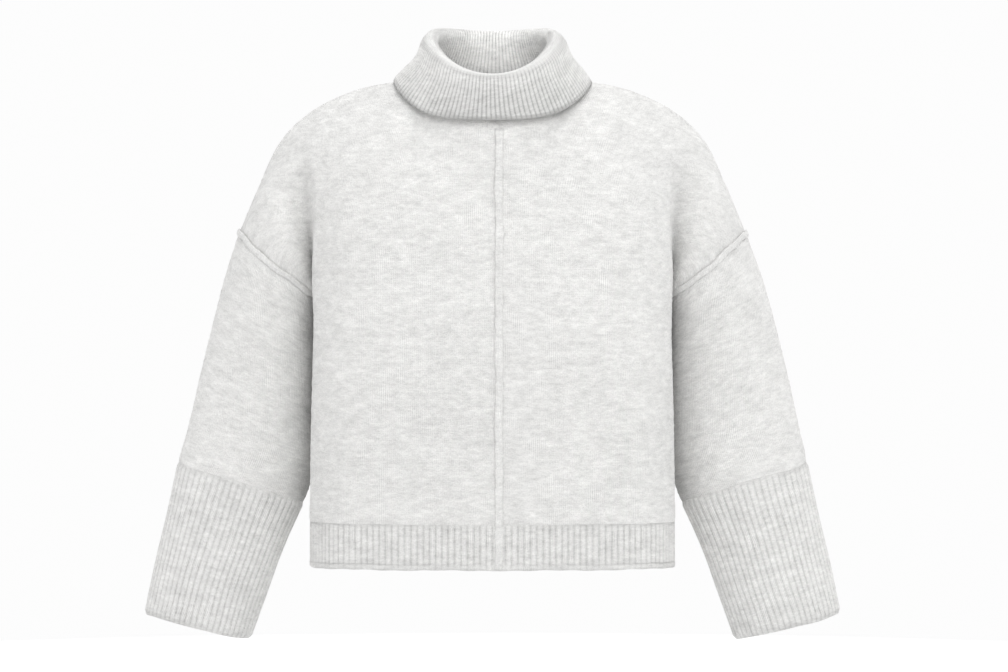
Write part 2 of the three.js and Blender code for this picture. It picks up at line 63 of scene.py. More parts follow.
view_width = PHOTO_SIZE[0] * MM_PER_PIXEL * MM
camera_data = bpy.data.cameras.new("camera")
camera_data.sensor_width = SENSOR
camera_data.lens = SENSOR * CAMERA_DISTANCE / view_width
camera_data.clip_end = 50
camera = bpy.data.objects.new("camera", camera_data)
camera.location = (
    (PHOTO_SIZE[0] / 2 - MIDDLE_PIXEL) * MM_PER_PIXEL * MM,
    -CAMERA_DISTANCE,
    (SHOULDER_ROW - PHOTO_SIZE[1] / 2) * MM_PER_PIXEL * MM,
)
camera.rotation_euler = (math.radians(90), 0, 0)
bpy.context.scene.collection.objects.link(camera)
bpy.context.scene.camera = camera
bpy.context.scene.view_settings.view_transform = "Standard"

# Studio: an even white surround with large soft lamps in front, above and behind, and a small one
# that reaches into the neck. The floor is pale, round and 90 mm below the cuffs.
SURROUND_STRENGTH = 0.98
FLOOR_Z = cad_low[2] - 0.09
FLOOR_RADIUS = 1.5
NECK_LAMP_PLACE = (0, -1.2, 0.3)
NECK_LAMP_DOWN = 11.9
NECK_LAMP_CONE = 4.4

world = bpy.data.worlds.new("studio")
world.use_nodes = True
world.node_tree.nodes["Background"].inputs["Color"].default_value = (1, 1, 1, 1)
world.node_tree.nodes["Background"].inputs["Strength"].default_value = SURROUND_STRENGTH
bpy.context.scene.world = world


def hang_lamp(lamp, place, turn):
    """Puts a lamp in the scene, turned by angles in degrees from pointing straight down."""
    lamp_object = bpy.data.objects.new(lamp.name, lamp)
    lamp_object.location = place
    lamp_object.rotation_euler = [math.radians(angle) for angle in turn]
    bpy.context.scene.collection.objects.link(lamp_object)


def soft_lamp(name, place, turn, size, power):
    """A large round lamp, with its size in metres and its power in watts."""
    lamp = bpy.data.lights.new(name, "AREA")
    lamp.shape = "DISK"
    lamp.size = size
    lamp.energy = power
    hang_lamp(lamp, place, turn)


soft_lamp("key_lamp", (0.5, -2.2, 1.6), (55, 0, 13), 1.6, 19)
soft_lamp("top_lamp", (0.2, 0.4, 2.2), (-8, 0, 0), 1.4, 9)
soft_lamp("rear_lamp", (0.7, 2.3, 1.3), (-60, 0, -17), 1.6, 12)
neck_lamp = bpy.data.lights.new("neck_lamp", "SPOT")
neck_lamp.energy = 40
neck_lamp.spot_size = math.radians(NECK_LAMP_CONE)
neck_lamp.spot_blend = 0.5
neck_lamp.shadow_soft_size = 0.03
hang_lamp(neck_lamp, NECK_LAMP_PLACE, (90 - NECK_LAMP_DOWN, 0, 0))

bpy.ops.object.select_all(action="DESELECT")
bpy.ops.mesh.primitive_circle_add(
    vertices=96, radius=FLOOR_RADIUS, fill_type="NGON", location=(0, 0, FLOOR_Z))
floor = bpy.context.object
floor.name = "floor"
floor_paint = bpy.data.materials.new("floor_paint")
floor_paint.use_nodes = True
floor_shader = floor_paint.node_tree.nodes["Principled BSDF"]
floor_shader.inputs["Base Color"].default_value = (0.93, 0.93, 0.93, 1)
floor_shader.inputs["Roughness"].default_value = 0.9
floor.data.materials.append(floor_paint)

# Front: two halves of soft brushed plain knit, joined down the middle by an outward seam. Each
# runs out over the shoulder and down the arm to the drop-shoulder seam. The cloth is 3 mm thick.
CLOTH = 3.0
SEAM_GAP = 0.3
CENTRE_SEAM_X = 7.0
HEM_TOP = -471.0
WIDEST_Y = -40.0
FULLNESS = 2.25
SIDE_SEAM_ANGLE = 110
TORSO = [
    {"z": HEM_TOP, "half": 194.5, "front": -125, "back": 107},
    {"z": -400, "half": 194, "front": -128, "back": 110},
    {"z": -330, "half": 192.5, "front": -130, "back": 112},
    {"z": -266, "half": 191, "front": -130, "back": 112},
]
UNDERARM = {"z": -241, "half": 191.5, "front": -129, "back": 111.5}
GUIDES = ("mid", "neck", "breast", "edge", "crease", "crown")
FRONT_ANGLES = dict(zip(GUIDES, (14, 31, 56, 86, 94, 102)))
BACK_ANGLES = dict(zip(GUIDES, (165, 147, 133, 122, 117.5, 113.5)))
FRONT_ROWS = [
    {"share": 0.2, "mid": (57, -122, -201), "neck": (109, -114, -190), "breast": (162, -93, -198),
     "edge": (192, -49, -206), "crease": 25, "centre": (-127, -205)},
    {"share": 0.4, "mid": (57, -116, -158), "neck": (109, -104, -138), "breast": (164, -84, -148),
     "edge": (189.5, -51, -167), "crease": 25, "centre": (-121, -168)},
    {"share": 0.6, "mid": (55, -102, -114), "neck": (106, -82, -82), "breast": (160, -66, -98),
     "edge": (187.5, -50, -124), "crease": 22, "centre": (-111, -130)},
    {"share": 0.8, "mid": (53, -80, -70), "neck": (99, -46, -32), "breast": (152, -32, -42),
     "edge": (192, -34, -78), "crease": 9, "centre": (-96, -92)},
]
BACK_ROWS = [
    {"share": 0.2, "mid": (58, 107, -184), "neck": (112, 98, -178), "breast": (144, 84, -192),
     "edge": (166, 62, -212), "crease": -2, "centre": (110, -184)},
    {"share": 0.4, "mid": (57, 104, -130), "neck": (110, 92, -118), "breast": (150, 84, -136),
     "edge": (180, 72, -162), "crease": -2, "centre": (107, -132)},
    {"share": 0.6, "mid": (56, 97, -78), "neck": (106, 76, -64), "breast": (152, 72, -86),
     "edge": (190, 66, -114), "crease": -1, "centre": (101, -80)},
    {"share": 0.8, "mid": (54, 83, -28), "neck": (99, 42, -16), "breast": (148, 46, -36),
     "edge": (198, 42, -68), "crease": 0, "centre": (89, -30)},
]
SHOULDER = [
    (86, -3.5, 5), (108, -1, 2.2), (138, 3, -3.2), (166, 6, -13), (192, 9, -26), (214, 11, -43),
    (233, 13, -66), (252, 16, -106), (275, 18.5, -160),
]
ARMHOLE = {"out": (275, -160), "in": (187, -232), "y": 18.5, "deep": 54, "sag": 3}
CROWN = {"out": (252, -106), "in": (184, -236), "y": 15, "deep": 50, "sag": 2}
SLEEVE_RINGS = [
    {"out": (290, -207), "in": (189, -262), "y": 26, "deep": 53, "sag": 3},
    {"out": (304, -259), "in": (188, -303), "y": 33, "deep": 52, "sag": 0},
    {"out": (317, -311), "in": (188, -354), "y": 37, "deep": 51, "sag": 0},
    {"out": (329, -363), "in": (190, -406), "y": 37, "deep": 50, "sag": 0},
    {"out": (341, -409), "in": (205.5, -451), "y": 33, "deep": 48, "sag": 0},
]
NECKLINE = {"half": 86, "front": -75, "back": 69, "z_front": -42, "z_side": 5, "z_back": 14}
COLUMN_STEPS = (21, 21, 23, 21, 10, 14, 15)
LOWER_STEPS = (26, 26, 24)
UPPER_STEPS = (9, 14, 14, 14, 14, 14)
WAIST_ROW = 30


def torso_point(section, angle):
    """Point of the torso section, 0 degrees at the middle front and 180 at the middle back."""
    turn = math.radians(angle)
    reach = [abs(value) ** (2 / FULLNESS) for value in (math.sin(turn), math.cos(turn))]
    depth = section["front"] - WIDEST_Y if math.cos(turn) >= 0 else section["back"] - WIDEST_Y
    return np.array((section["half"] * reach[0], WIDEST_Y + depth * reach[1], section["z"]))


def arm_point(ring, angle, face):
    """Point of an oval ring round the arm, 0 degrees at the underarm and 180 at the top."""
    outer = np.array((ring["out"][0], ring["y"], ring["out"][1]), float)
    inner = np.array((ring["in"][0], ring["y"], ring["in"][1]), float)
    turn = math.radians(angle)
    point = (outer + inner) / 2 - (outer - inner) / 2 * math.cos(turn)
    point[1] += face * ring["deep"] * math.sin(turn)
    return point + np.array((0.29, 0, -0.956)) * ring.get("sag", 0) * math.sin(turn)


def neck_point(ring, turn):
    """Point of a neck ring, turn 0 at the front and positive towards the wearer's left."""
    mean = (ring["z_front"] + 2 * ring["z_side"] + ring["z_back"]) / 4
    tilt = (ring["z_back"] - ring["z_front"]) / 2
    saddle = (ring["z_front"] + ring["z_back"]) / 4 - ring["z_side"] / 2
    middle = (ring["front"] + ring["back"]) / 2
    depth = (ring["back"] - ring["front"]) / 2
    dip = ring.get("dip", 0) * np.sin(2 * turn) ** 2 * (np.cos(turn) > 0)
    z = -dip + mean - tilt * np.cos(turn) + saddle * np.cos(2 * turn)
    return np.stack((ring["half"] * np.sin(turn), middle - depth * np.cos(turn), z), axis=-1)


def smooth_line(guides, steps):
    """Smooth curves through guide points along the first axis, with steps between each pair."""
    points = np.asarray(guides, float)
    padded = np.concatenate((2 * points[:1] - points[1:2], points, 2 * points[-1:] - points[-2:-1]))
    result = [points[:1]]
    for span, count in enumerate(steps):
        p0, p1, p2, p3 = padded[span:span + 4]
        d0, d1, d2 = (
            np.maximum(np.linalg.norm(b - a, axis=-1, keepdims=True), 1e-4) ** 0.5
            for a, b in ((p0, p1), (p1, p2), (p2, p3))
        )
        start = ((p1 - p0) / d0 - (p2 - p0) / (d0 + d1) + (p2 - p1) / d1) * d1
        end = ((p2 - p1) / d1 - (p3 - p1) / (d1 + d2) + (p3 - p2) / d2) * d1
        shape = (count,) + (1,) * p1.ndim
        t = (np.arange(1, count + 1) / count).reshape(shape)
        square = -3 * p1 + 3 * p2 - 2 * start - end
        cube = 2 * p1 - 2 * p2 + start + end
        result.append(p1 + start * t + square * t ** 2 + cube * t ** 3)
    return np.concatenate(result)


def mirrored(points, side):
    return np.asarray(points, float) * np.array((side, 1, 1))


def even_line(points, count):
    """Points at even distances along a dense line."""
    lengths = np.concatenate(([0], np.cumsum(np.linalg.norm(np.diff(points, axis=0), axis=1))))
    places = np.linspace(0, lengths[-1], count)
    return np.stack([np.interp(places, lengths, points[:, k]) for k in range(3)], axis=1)


def half_panel(face, side):
    """Outer points of half the front (-1) or back (1), rows up from the hem, columns outwards."""
    angles = FRONT_ANGLES if face < 0 else BACK_ANGLES
    table = FRONT_ROWS if face < 0 else BACK_ROWS
    start_x = CENTRE_SEAM_X * side if face < 0 else 0
    rows = []
    for section in TORSO + [UNDERARM]:
        guides = [torso_point(section, 0 if face < 0 else 180)]
        guides += [torso_point(section, angles[name]) for name in GUIDES]
        guides.append(torso_point(section, SIDE_SEAM_ANGLE))
        if section is UNDERARM:
            guides[-2] = np.array((184, 2, -239) if face < 0 else (181, 28, -239), float)
            guides[-1] = arm_point(ARMHOLE, 0, face)
        rows.append(guides)
    for row in table:
        crown = arm_point(CROWN, 180 * row["share"], face)
        edge = np.array(row["edge"], float)
        crease = edge + (crown - edge) * (0.28 if face < 0 else 0.35)
        crease[1] -= face * row["crease"]
        centre = np.array((0, *row["centre"]), float)
        guides = [centre, *(np.array(row[name], float) for name in ("mid", "neck", "breast"))]
        rows.append(guides + [edge, crease, crown, arm_point(ARMHOLE, 180 * row["share"], face)])
    for guides in rows:
        guides[0] = guides[0] + np.array((start_x, 0, 0))
    fine = [smooth_line(guides, COLUMN_STEPS) for guides in rows]
    neck_columns = COLUMN_STEPS[0] + COLUMN_STEPS[1]
    first_turn = math.asin(start_x / NECKLINE["half"]) if face < 0 else math.pi
    neck = neck_point(NECKLINE, np.linspace(first_turn, math.pi / 2, neck_columns + 1))
    shoulder = smooth_line(SHOULDER, (12,) * (len(SHOULDER) - 1))
    shoulder = even_line(shoulder, sum(COLUMN_STEPS[2:]) + 1)
    fine.append(np.concatenate((neck, shoulder[1:])))
    return mirrored(smooth_line(fine, LOWER_STEPS + UPPER_STEPS), side)


def grid_normals(grid, closed):
    """Unit normals of a grid of points, from its neighbours along rows and columns."""
    if closed:
        across = np.roll(grid, -1, axis=1) - np.roll(grid, 1, axis=1)
    else:
        across = np.gradient(grid, axis=1)
    normal = np.cross(across, np.gradient(grid, axis=0))
    return normal / np.maximum(np.linalg.norm(normal, axis=-1, keepdims=True), 1e-9)


def level_map(grid):
    """Where each point of a panel lies in its knit, in metres: along its row, and up in level rows."""
    across = np.linalg.norm(np.diff(grid, axis=1), axis=-1)
    u = np.concatenate((np.zeros((len(grid), 1)), np.cumsum(across, axis=1)), axis=1)
    step = np.diff(grid, axis=0)
    rise = np.maximum(step[..., 2], 0.6 * np.linalg.norm(step, axis=-1))
    v = np.concatenate((np.zeros((1, grid.shape[1])), np.cumsum(rise, axis=0))) + grid[:1, :, 2]
    return np.stack((u, v), axis=-1) * MM


def knit_map(grid, closed):
    """Where each point lies in the knit, in metres: along its row, and up its column."""
    wide = np.concatenate((grid, grid[:, :1]), axis=1) if closed else grid
    across = np.linalg.norm(np.diff(wide, axis=1), axis=-1)
    u = np.concatenate((np.zeros((len(wide), 1)), np.cumsum(across, axis=1)), axis=1)
    up = np.linalg.norm(np.diff(wide, axis=0), axis=-1).mean(axis=1)
    v = np.concatenate(([0], np.cumsum(up)))[:, None] * np.ones_like(u)
    return np.stack((u, v), axis=-1) * MM


def cloth_mesh(name, rows, uv, closed, groove_and_painted_shade):
    """A closed mesh whose section is a ring of rows of points, in millimetres."""
    count, columns = rows.shape[:2]
    i, j = np.meshgrid(np.arange(count), np.arange(columns if closed else columns - 1), indexing="ij")
    i, j = i.ravel(), j.ravel()
    up = (i + 1) % count
    corners = [(i, j), (i, j + 1), (up, j + 1), (up, j)]
    faces = [np.stack([a * columns + b % columns for a, b in corners], axis=1)]
    maps = [np.stack([uv[a, b] for a, b in corners], axis=1)]
    if not closed:
        k = np.arange(count // 2 - 1)
        for end, order in ((0, (0, 1, 2, 3)), (columns - 1, (3, 2, 1, 0))):
            ring = [k, k + 1, count - 2 - k, count - 1 - k]
            faces.append(np.stack([ring[n] * columns + end for n in order], axis=1))
            maps.append(np.stack([uv[ring[n], end] for n in order], axis=1))
    faces, maps = np.concatenate(faces), np.concatenate(maps)
    points = rows.reshape(-1, 3) * MM
    a, b, c, d = (points[faces[:, k]] for k in range(4))
    volume = (a * (np.cross(b, c) + np.cross(c, d))).sum()
    if volume < 0:
        faces, maps = faces[:, ::-1], maps[:, ::-1]
    mesh = bpy.data.meshes.new(name)
    mesh.vertices.add(len(points))
    mesh.vertices.foreach_set("co", points.ravel())
    mesh.loops.add(faces.size)
    mesh.loops.foreach_set("vertex_index", faces.ravel())
    mesh.polygons.add(len(faces))
    mesh.polygons.foreach_set("loop_start", np.arange(0, faces.size, 4))
    mesh.uv_layers.new(name="knit").data.foreach_set("uv", maps.reshape(-1))
    # The point attribute holds painted shade: above 0 it darkens the wool, below 0 it lightens it.
    depth = mesh.attributes.new("groove_and_painted_shade", "FLOAT", "POINT")
    depth.data.foreach_set("value", groove_and_painted_shade.astype(np.float32).ravel())
    mesh.update(calc_edges=True)
    mesh.polygons.foreach_set("use_smooth", np.ones(len(mesh.polygons), bool))
    piece = bpy.data.objects.new(name, mesh)
    bpy.context.scene.collection.objects.link(piece)
    return piece


def napped(grid, normals, seed, depth=0.22):
    """Cloth whose outside is made a little uneven by its brushed nap."""
    dice = np.random.default_rng(seed)
    return grid + normals * (depth * dice.standard_normal(grid.shape[:2]))[..., None]


def firm_edges(grid, closed):
    """A grid with a line close beside each border, so that smooth shading stays crisp there."""
    for axis in (0,) if closed else (0, 1):
        lines = np.moveaxis(grid, axis, 0)
        beside = [lines[:1] * 0.9 + lines[1:2] * 0.1, lines[-1:] * 0.9 + lines[-2:-1] * 0.1]
        lines = np.concatenate((lines[:1], beside[0], lines[1:-1], beside[1], lines[-1:]))
        grid = np.moveaxis(lines, 0, axis)
    return grid


def wall_piece(name, outer, inner, uv, closed, groove_and_painted_shade=None):
    """A cloth wall between an outer and an inner grid of the same size."""
    if groove_and_painted_shade is None:
        groove_and_painted_shade = np.zeros(outer.shape[:2])
    outer, inner, uv, groove_and_painted_shade = (firm_edges(grid, closed) for grid in (outer, inner, uv, groove_and_painted_shade))
    rows = np.concatenate((outer, inner[::-1]))
    both = np.concatenate((groove_and_painted_shade, np.zeros_like(groove_and_painted_shade)))
    return cloth_mesh(name, rows, np.concatenate((uv, uv[::-1])), closed, both)


def finish_cloth(piece, node, material):
    """Gives a cloth piece its material, sets it on the root body and hides the solid of its node."""
    piece.data.materials.append(material)
    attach(piece, "root")
    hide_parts(node)


def soft_folds(grid, folds):
    """How far long soft troughs (below 0) or ridges move each point, as seen from the front."""
    moved = np.zeros(grid.shape[:2])
    for fold in folds:
        start, end = (np.array(fold[key], float) for key in ("from", "to"))
        line = end - start
        place = np.clip((grid[..., (0, 2)] - start) @ line / (line @ line), -0.25, 1.25)
        bow = np.array((-line[1], line[0])) * fold.get("bow", 0) * np.sin(math.pi * place)[..., None]
        distance = np.linalg.norm(grid[..., (0, 2)] - start - place[..., None] * line - bow, axis=-1)
        fade = np.clip(1 - np.abs(2 * place - 1) ** 3 / 1.6, 0, 1) ** 2
        moved += fold["height"] * np.exp(-(distance / fold["width"]) ** 2) * fade
    return moved


def waver(values, seed, amounts):
    """Slow uneven waver along a line, from sines of unlike length."""
    dice = np.random.default_rng(seed)
    return sum(size * np.sin(2 * math.pi * (values / length + dice.uniform())) for length, size in amounts)


def wool_material(name, tone, stitch_width, stitch_height, stitch_depth):
    """Heather wool: pale streaks along the rows, darker flecks, knit loops, a soft nap, and light and shade
    painted by a point attribute.
    """
    material = bpy.data.materials.new(name)
    material.use_nodes = True
    tree = material.node_tree
    nodes, links = tree.nodes, tree.links
    shader = nodes["Principled BSDF"]
    knit = nodes.new("ShaderNodeUVMap")
    knit.uv_map = "knit"

    def number(operation, first, second=0.0):
        node = nodes.new("ShaderNodeMath")
        node.operation = operation
        for socket, value in zip(node.inputs, (first, second)):
            if isinstance(value, (int, float)):
                socket.default_value = value
            else:
                links.new(value, socket)
        return node.outputs[0]

    def noise(source, scale, detail, roughness, amount):
        mapping = nodes.new("ShaderNodeMapping")
        mapping.inputs["Scale"].default_value = scale
        links.new(source, mapping.inputs["Vector"])
        node = nodes.new("ShaderNodeTexNoise")
        node.inputs["Scale"].default_value = 1.0
        node.inputs["Detail"].default_value = detail
        node.inputs["Roughness"].default_value = roughness
        links.new(mapping.outputs[0], node.inputs["Vector"])
        return number("MULTIPLY", number("SUBTRACT", node.outputs["Fac"], 0.5), amount)

    place = nodes.new("ShaderNodeTexCoord").outputs["Object"]
    cloth = knit.outputs[0]
    split = nodes.new("ShaderNodeSeparateXYZ")
    links.new(cloth, split.inputs[0])
    streaks = noise(cloth, (105, 270, 1), 3.0, 0.65, 0.5)
    mottle = noise(cloth, (42, 95, 1), 2.0, 0.6, 0.38)
    broad = noise(place, (14, 14, 21), 2.0, 0.55, 0.14)
    speckle = noise(cloth, (520, 700, 1), 2.0, 0.6, 0.42)
    fleck = number("GREATER_THAN", noise(cloth, (150, 900, 1), 2.0, 0.5, 1.0), 0.16)
    groove_and_painted_shade = nodes.new("ShaderNodeAttribute")
    groove_and_painted_shade.attribute_name = "groove_and_painted_shade"
    light = number("ADD", number("ADD", streaks, mottle), number("ADD", broad, speckle))
    light = number("SUBTRACT", light, number("MULTIPLY", fleck, 0.05))
    across = number("DIVIDE", split.outputs[0], stitch_width)
    wale = number("COSINE", number("MULTIPLY", across, 2 * math.pi))
    patch = number("MAXIMUM", noise(place, (55, 55, 38), 1.0, 0.5, 1.0), 0.0)
    light = number("ADD", light, number("MULTIPLY", number("MULTIPLY", wale, patch), 0.45))
    # Painted light and shade: the point attribute darkens the wool in rib grooves and creases, and lightens
    # it where it is below 0.
    light = number("SUBTRACT", light, number("MULTIPLY", groove_and_painted_shade.outputs["Fac"], 0.3))
    grey = nodes.new("ShaderNodeCombineColor")
    for channel in grey.inputs:
        links.new(number("ADD", light, 1.0), channel)
    colour = nodes.new("ShaderNodeMix")
    colour.data_type = "RGBA"
    colour.blend_type = "MULTIPLY"
    colour.inputs["Factor"].default_value = 1.0
    colour.inputs["A"].default_value = (*tone, 1)
    links.new(grey.outputs[0], colour.inputs["B"])
    links.new(colour.outputs["Result"], shader.inputs["Base Color"])

    leg = number("ABSOLUTE", number("SUBTRACT", number("FRACT", across), 0.5))
    slanted = number("ADD", number("DIVIDE", split.outputs[1], stitch_height), number("MULTIPLY", leg, 1.1))
    loops = number("MULTIPLY", number("SINE", number("MULTIPLY", slanted, 2 * math.pi)), 0.28)
    column = number("MULTIPLY", wale, 0.5)
    nap = noise(place, (1500, 1500, 1500), 3.0, 0.65, 2.2)
    lumps = noise(place, (260, 260, 320), 3.0, 0.6, 2.4)
    height = number("ADD", number("ADD", loops, column), number("ADD", nap, lumps))
    bump = nodes.new("ShaderNodeBump")
    bump.inputs["Strength"].default_value = 0.75
    bump.inputs["Distance"].default_value = stitch_depth
    links.new(height, bump.inputs["Height"])
    links.new(bump.outputs[0], shader.inputs["Normal"])
    shader.inputs["Roughness"].default_value = 0.96
    shader.inputs["Specular IOR Level"].default_value = 0.12
    shader.inputs["Sheen Weight"].default_value = 0.2
    shader.inputs["Sheen Roughness"].default_value = 0.55
    return material


brushed_wool = wool_material("brushed_wool", (0.80, 0.797, 0.785), 0.0021, 0.0019, 0.0005)

underarm_row = sum(LOWER_STEPS) + UPPER_STEPS[0]
arm_rows = sum(UPPER_STEPS[1:])
PANELS = {(face, side): half_panel(face, side) for face in (-1, 1) for side in (1, -1)}

FRONT_FOLDS = [
    {"from": (176, -196), "to": (120, -262), "height": -2.6, "width": 15, "bow": 0.08},
    {"from": (183, -228), "to": (138, -318), "height": -2.2, "width": 13, "bow": -0.06},
    {"from": (150, -150), "to": (92, -196), "height": -1.6, "width": 20, "bow": 0.1},
    {"from": (168, -300), "to": (150, -430), "height": 2.0, "width": 17},
    {"from": (96, -330), "to": (84, -462), "height": -1.8, "width": 22},
    {"from": (-178, -190), "to": (-128, -250), "height": -2.2, "width": 17, "bow": -0.09},
    {"from": (-186, -240), "to": (-150, -330), "height": -2.4, "width": 12, "bow": 0.05},
    {"from": (-142, -140), "to": (-80, -180), "height": -1.5, "width": 19, "bow": -0.1},
    {"from": (-160, -310), "to": (-146, -440), "height": 1.8, "width": 15},
    {"from": (-70, -350), "to": (-80, -466), "height": -1.6, "width": 24},
    {"from": (30, -240), "to": (44, -360), "height": 1.2, "width": 26},
]
BACK_FOLDS = [
    {"from": (150, -200), "to": (92, -282), "height": -3.4, "width": 16, "bow": 0.08},
    {"from": (146, -250), "to": (96, -360), "height": -2.8, "width": 15, "bow": -0.05},
    {"from": (-154, -206), "to": (-100, -270), "height": -3.0, "width": 17, "bow": -0.07},
    {"from": (-142, -262), "to": (-104, -380), "height": -2.6, "width": 14, "bow": 0.06},
    {"from": (60, -60), "to": (10, -110), "height": -2.0, "width": 18},
    {"from": (-56, -66), "to": (-6, -124), "height": -1.8, "width": 20},
    {"from": (40, -300), "to": (52, -455), "height": 2.2, "width": 24},
    {"from": (-30, -330), "to": (-44, -460), "height": 2.0, "width": 22},
]
ARM_FOLDS = [
    {"from": (212, -62), "to": (222, -140), "height": -1.8, "width": 14},
    {"from": (246, -104), "to": (232, -176), "height": -1.4, "width": 16},
    {"from": (-208, -60), "to": (-216, -130), "height": -2.0, "width": 13},
    {"from": (-244, -110), "to": (-236, -170), "height": -1.2, "width": 15},
    {"from": (200, -34), "to": (268, -148), "height": 2.6, "width": 14},
]


def near(distance, reach):
    """1 on a seam, falling softly to 0 with the distance from it."""
    return np.exp(-(distance / reach) ** 2)


def panel_normals(grid):
    """Unit normals of a panel, turned away from the inside of the sweater."""
    normals = grid_normals(grid, False)
    row, column = WAIST_ROW, grid.shape[1] // 4
    away = grid[row, column] * (1, 1, 0) + (0, 10, 0)
    return normals if normals[row, column] @ away > 0 else -normals


def shaped_panel(face, side):
    """Half a panel with its folds, the dip beside each seam and the swell over the hem, and on the front
    its painted light and shade.
    """
    grid = PANELS[face, side]
    normals = panel_normals(grid)
    across, up = np.moveaxis(knit_map(grid, False) / MM, -1, 0)
    from_side = across[:, -1:] - across
    from_top = up[-1:] - up
    shoulder = np.arange(grid.shape[1]) >= COLUMN_STEPS[0] + COLUMN_STEPS[1]
    calm = (1 - near(from_side, 16)) * (1 - near(up, 14)) * (1 - near(from_top, 14))
    moved = soft_folds(grid, (FRONT_FOLDS if face < 0 else BACK_FOLDS) + ARM_FOLDS)
    if face < 0:
        calm = calm * (1 - near(across, 14))
        moved = moved - 0.9 * near(across - 6, 2.5)
    moved = moved * calm - 0.7 * near(from_side, 4.5) - 0.6 * near(from_top, 3.5) * shoulder
    if face < 0:
        moved = moved - 0.6 * near(from_top - 9.5, 1.6) * near(grid[..., 0], 60)
    moved = moved + 0.6 * near(up - 10, 12) - 0.4 * near(up, 2.5)
    crease = sum(COLUMN_STEPS[:5])
    rows = np.arange(len(grid))[:, None]
    upper = np.clip((rows - underarm_row + 12) / 12, 0, 1) * np.clip((len(grid) - 12 - rows) / 30, 0, 1)
    # Painted shade on the front: darker along the crease beside the armhole and a little over the lower
    # front, and painted light just below the neckline, under the collar.
    shade = np.zeros_like(across)
    if face < 0:
        beyond = across - across[:, crease:crease + 1]
        shade += (0.9 * near(beyond, 6) + 0.4 * near(beyond - 10, 11)) * upper
        shade -= 0.35 * near(from_top - 11, 10) * ~shoulder
        shade += 0.1 * np.clip(up / 60, 0, 1) * np.clip((230 - up) / 120, 0, 1)
    return grid + normals * moved[..., None], normals, shade


def drawn_in(grid, line, neighbour, distance=SEAM_GAP / 2):
    """Moves a border line of a grid towards the next line in, by half the seam's gap."""
    way = grid[neighbour] - grid[line]
    grid[line] += way / np.maximum(np.linalg.norm(way, axis=-1, keepdims=True), 1e-6) * distance


for side, name, area in ((1, "front_left", 0.134), (-1, "front_right", 0.140)):
    outer, normals, shade = shaped_panel(-1, side)
    drawn_in(outer, np.s_[:, 0], np.s_[:, 1])
    drawn_in(outer, np.s_[:, -1], np.s_[:, -2])
    knit = level_map(outer) + (0.5 * (side + 1), 0)
    outside, inside = napped(outer, normals, side + 1), outer - normals * CLOTH
    piece = wall_piece(f"knit_{name}", outside, inside, knit, False, shade)
    finish_cloth(piece, name, brushed_wool)

# Centre seam: the fronts' edges are turned outwards and oversewn into a soft, slightly wavy
# ridge. It runs from the neckline over the body and the hem band, and is the same brushed wool.
RIDGE_PROFILE = [
    (-1, -0.25), (-1.02, 0.25), (-0.9, 0.62), (-0.62, 0.87), (-0.3, 0.97), (0, 1), (0.3, 0.97),
    (0.62, 0.87), (0.9, 0.62), (1.02, 0.25), (1, -0.25), (0.5, -0.3), (0, -0.3), (-0.5, -0.3),
]
CENTRE_RIDGE = {"reach": 4.1, "rise": 2.4}
HEM_BOTTOM = -519.5
RIDGE_TOP = -51.5


def seam_ridge(name, points, normals, across, size, seed, scale=1.0, sway=1.0):
    """A soft raised seam along a line of points on the cloth."""
    length = np.concatenate(([0], np.cumsum(np.linalg.norm(np.diff(points, axis=0), axis=1))))
    wide = scale * (1 + waver(length, seed, ((9, 0.05), (23, 0.06), (61, 0.05))))
    tall = scale * (1 + waver(length, seed + 1, ((7, 0.07), (17, 0.08), (47, 0.05))))
    aside = sway * scale * waver(length, seed + 2, ((37, 0.22), (83, 0.3), (140, 0.25)))
    rows = []
    for place, height in RIDGE_PROFILE:
        reach = (aside + place * size["reach"] * wide)[:, None]
        lift = (0.35 + height * size["rise"] * tall)[:, None]
        rows.append(points + across * reach + normals * lift)
    rows = np.stack(rows)
    u = np.linspace(0, 0.02, len(rows))[:, None] + np.zeros(len(points))
    uv = np.stack((u, length * MM + np.zeros_like(u)), axis=-1)
    return cloth_mesh(name, rows, uv, False, np.zeros(rows.shape[:2]))


def border_frame(points, normals, inward):
    """Unit direction across a seam, level with the cloth."""
    across = inward - (inward * normals).sum(axis=-1, keepdims=True) * normals
    return across / np.linalg.norm(across, axis=-1, keepdims=True)


front = PANELS[-1, 1]
line, normals = front[:, 0], panel_normals(front)[:, 0]
hem_part = np.linspace((CENTRE_SEAM_X, line[0, 1], HEM_BOTTOM + 0.6), line[0], 26)[:-1]
body = line[:, 2] < RIDGE_TOP
line = np.concatenate((hem_part, line[body]))
normals = np.concatenate((np.repeat(normals[:1], 25, axis=0), normals[body]))
across = border_frame(line, normals, np.array((1.0, 0, 0)))
piece = seam_ridge("ridge_centre", line, normals, across, CENTRE_RIDGE, 5)
finish_cloth(piece, "seam_ridge_centre", brushed_wool)

# Back: one piece of the same brushed knit, with the same drop shoulders as the front. It is
# sewn to the fronts along the shoulders and down the sides, by seams turned to the inside.
left, left_normals, _ = shaped_panel(1, 1)
right, right_normals, _ = shaped_panel(1, -1)
outer = np.concatenate((right[:, :0:-1], left), axis=1)
normals = np.concatenate((right_normals[:, :0:-1], left_normals), axis=1)
drawn_in(outer, np.s_[:, 0], np.s_[:, 1])
drawn_in(outer, np.s_[:, -1], np.s_[:, -2])
outside, inside = napped(outer, normals, 3), outer - normals * CLOTH
piece = wall_piece("knit_back", outside, inside, level_map(outer) + (2, 0), False)
finish_cloth(piece, "back", brushed_wool)

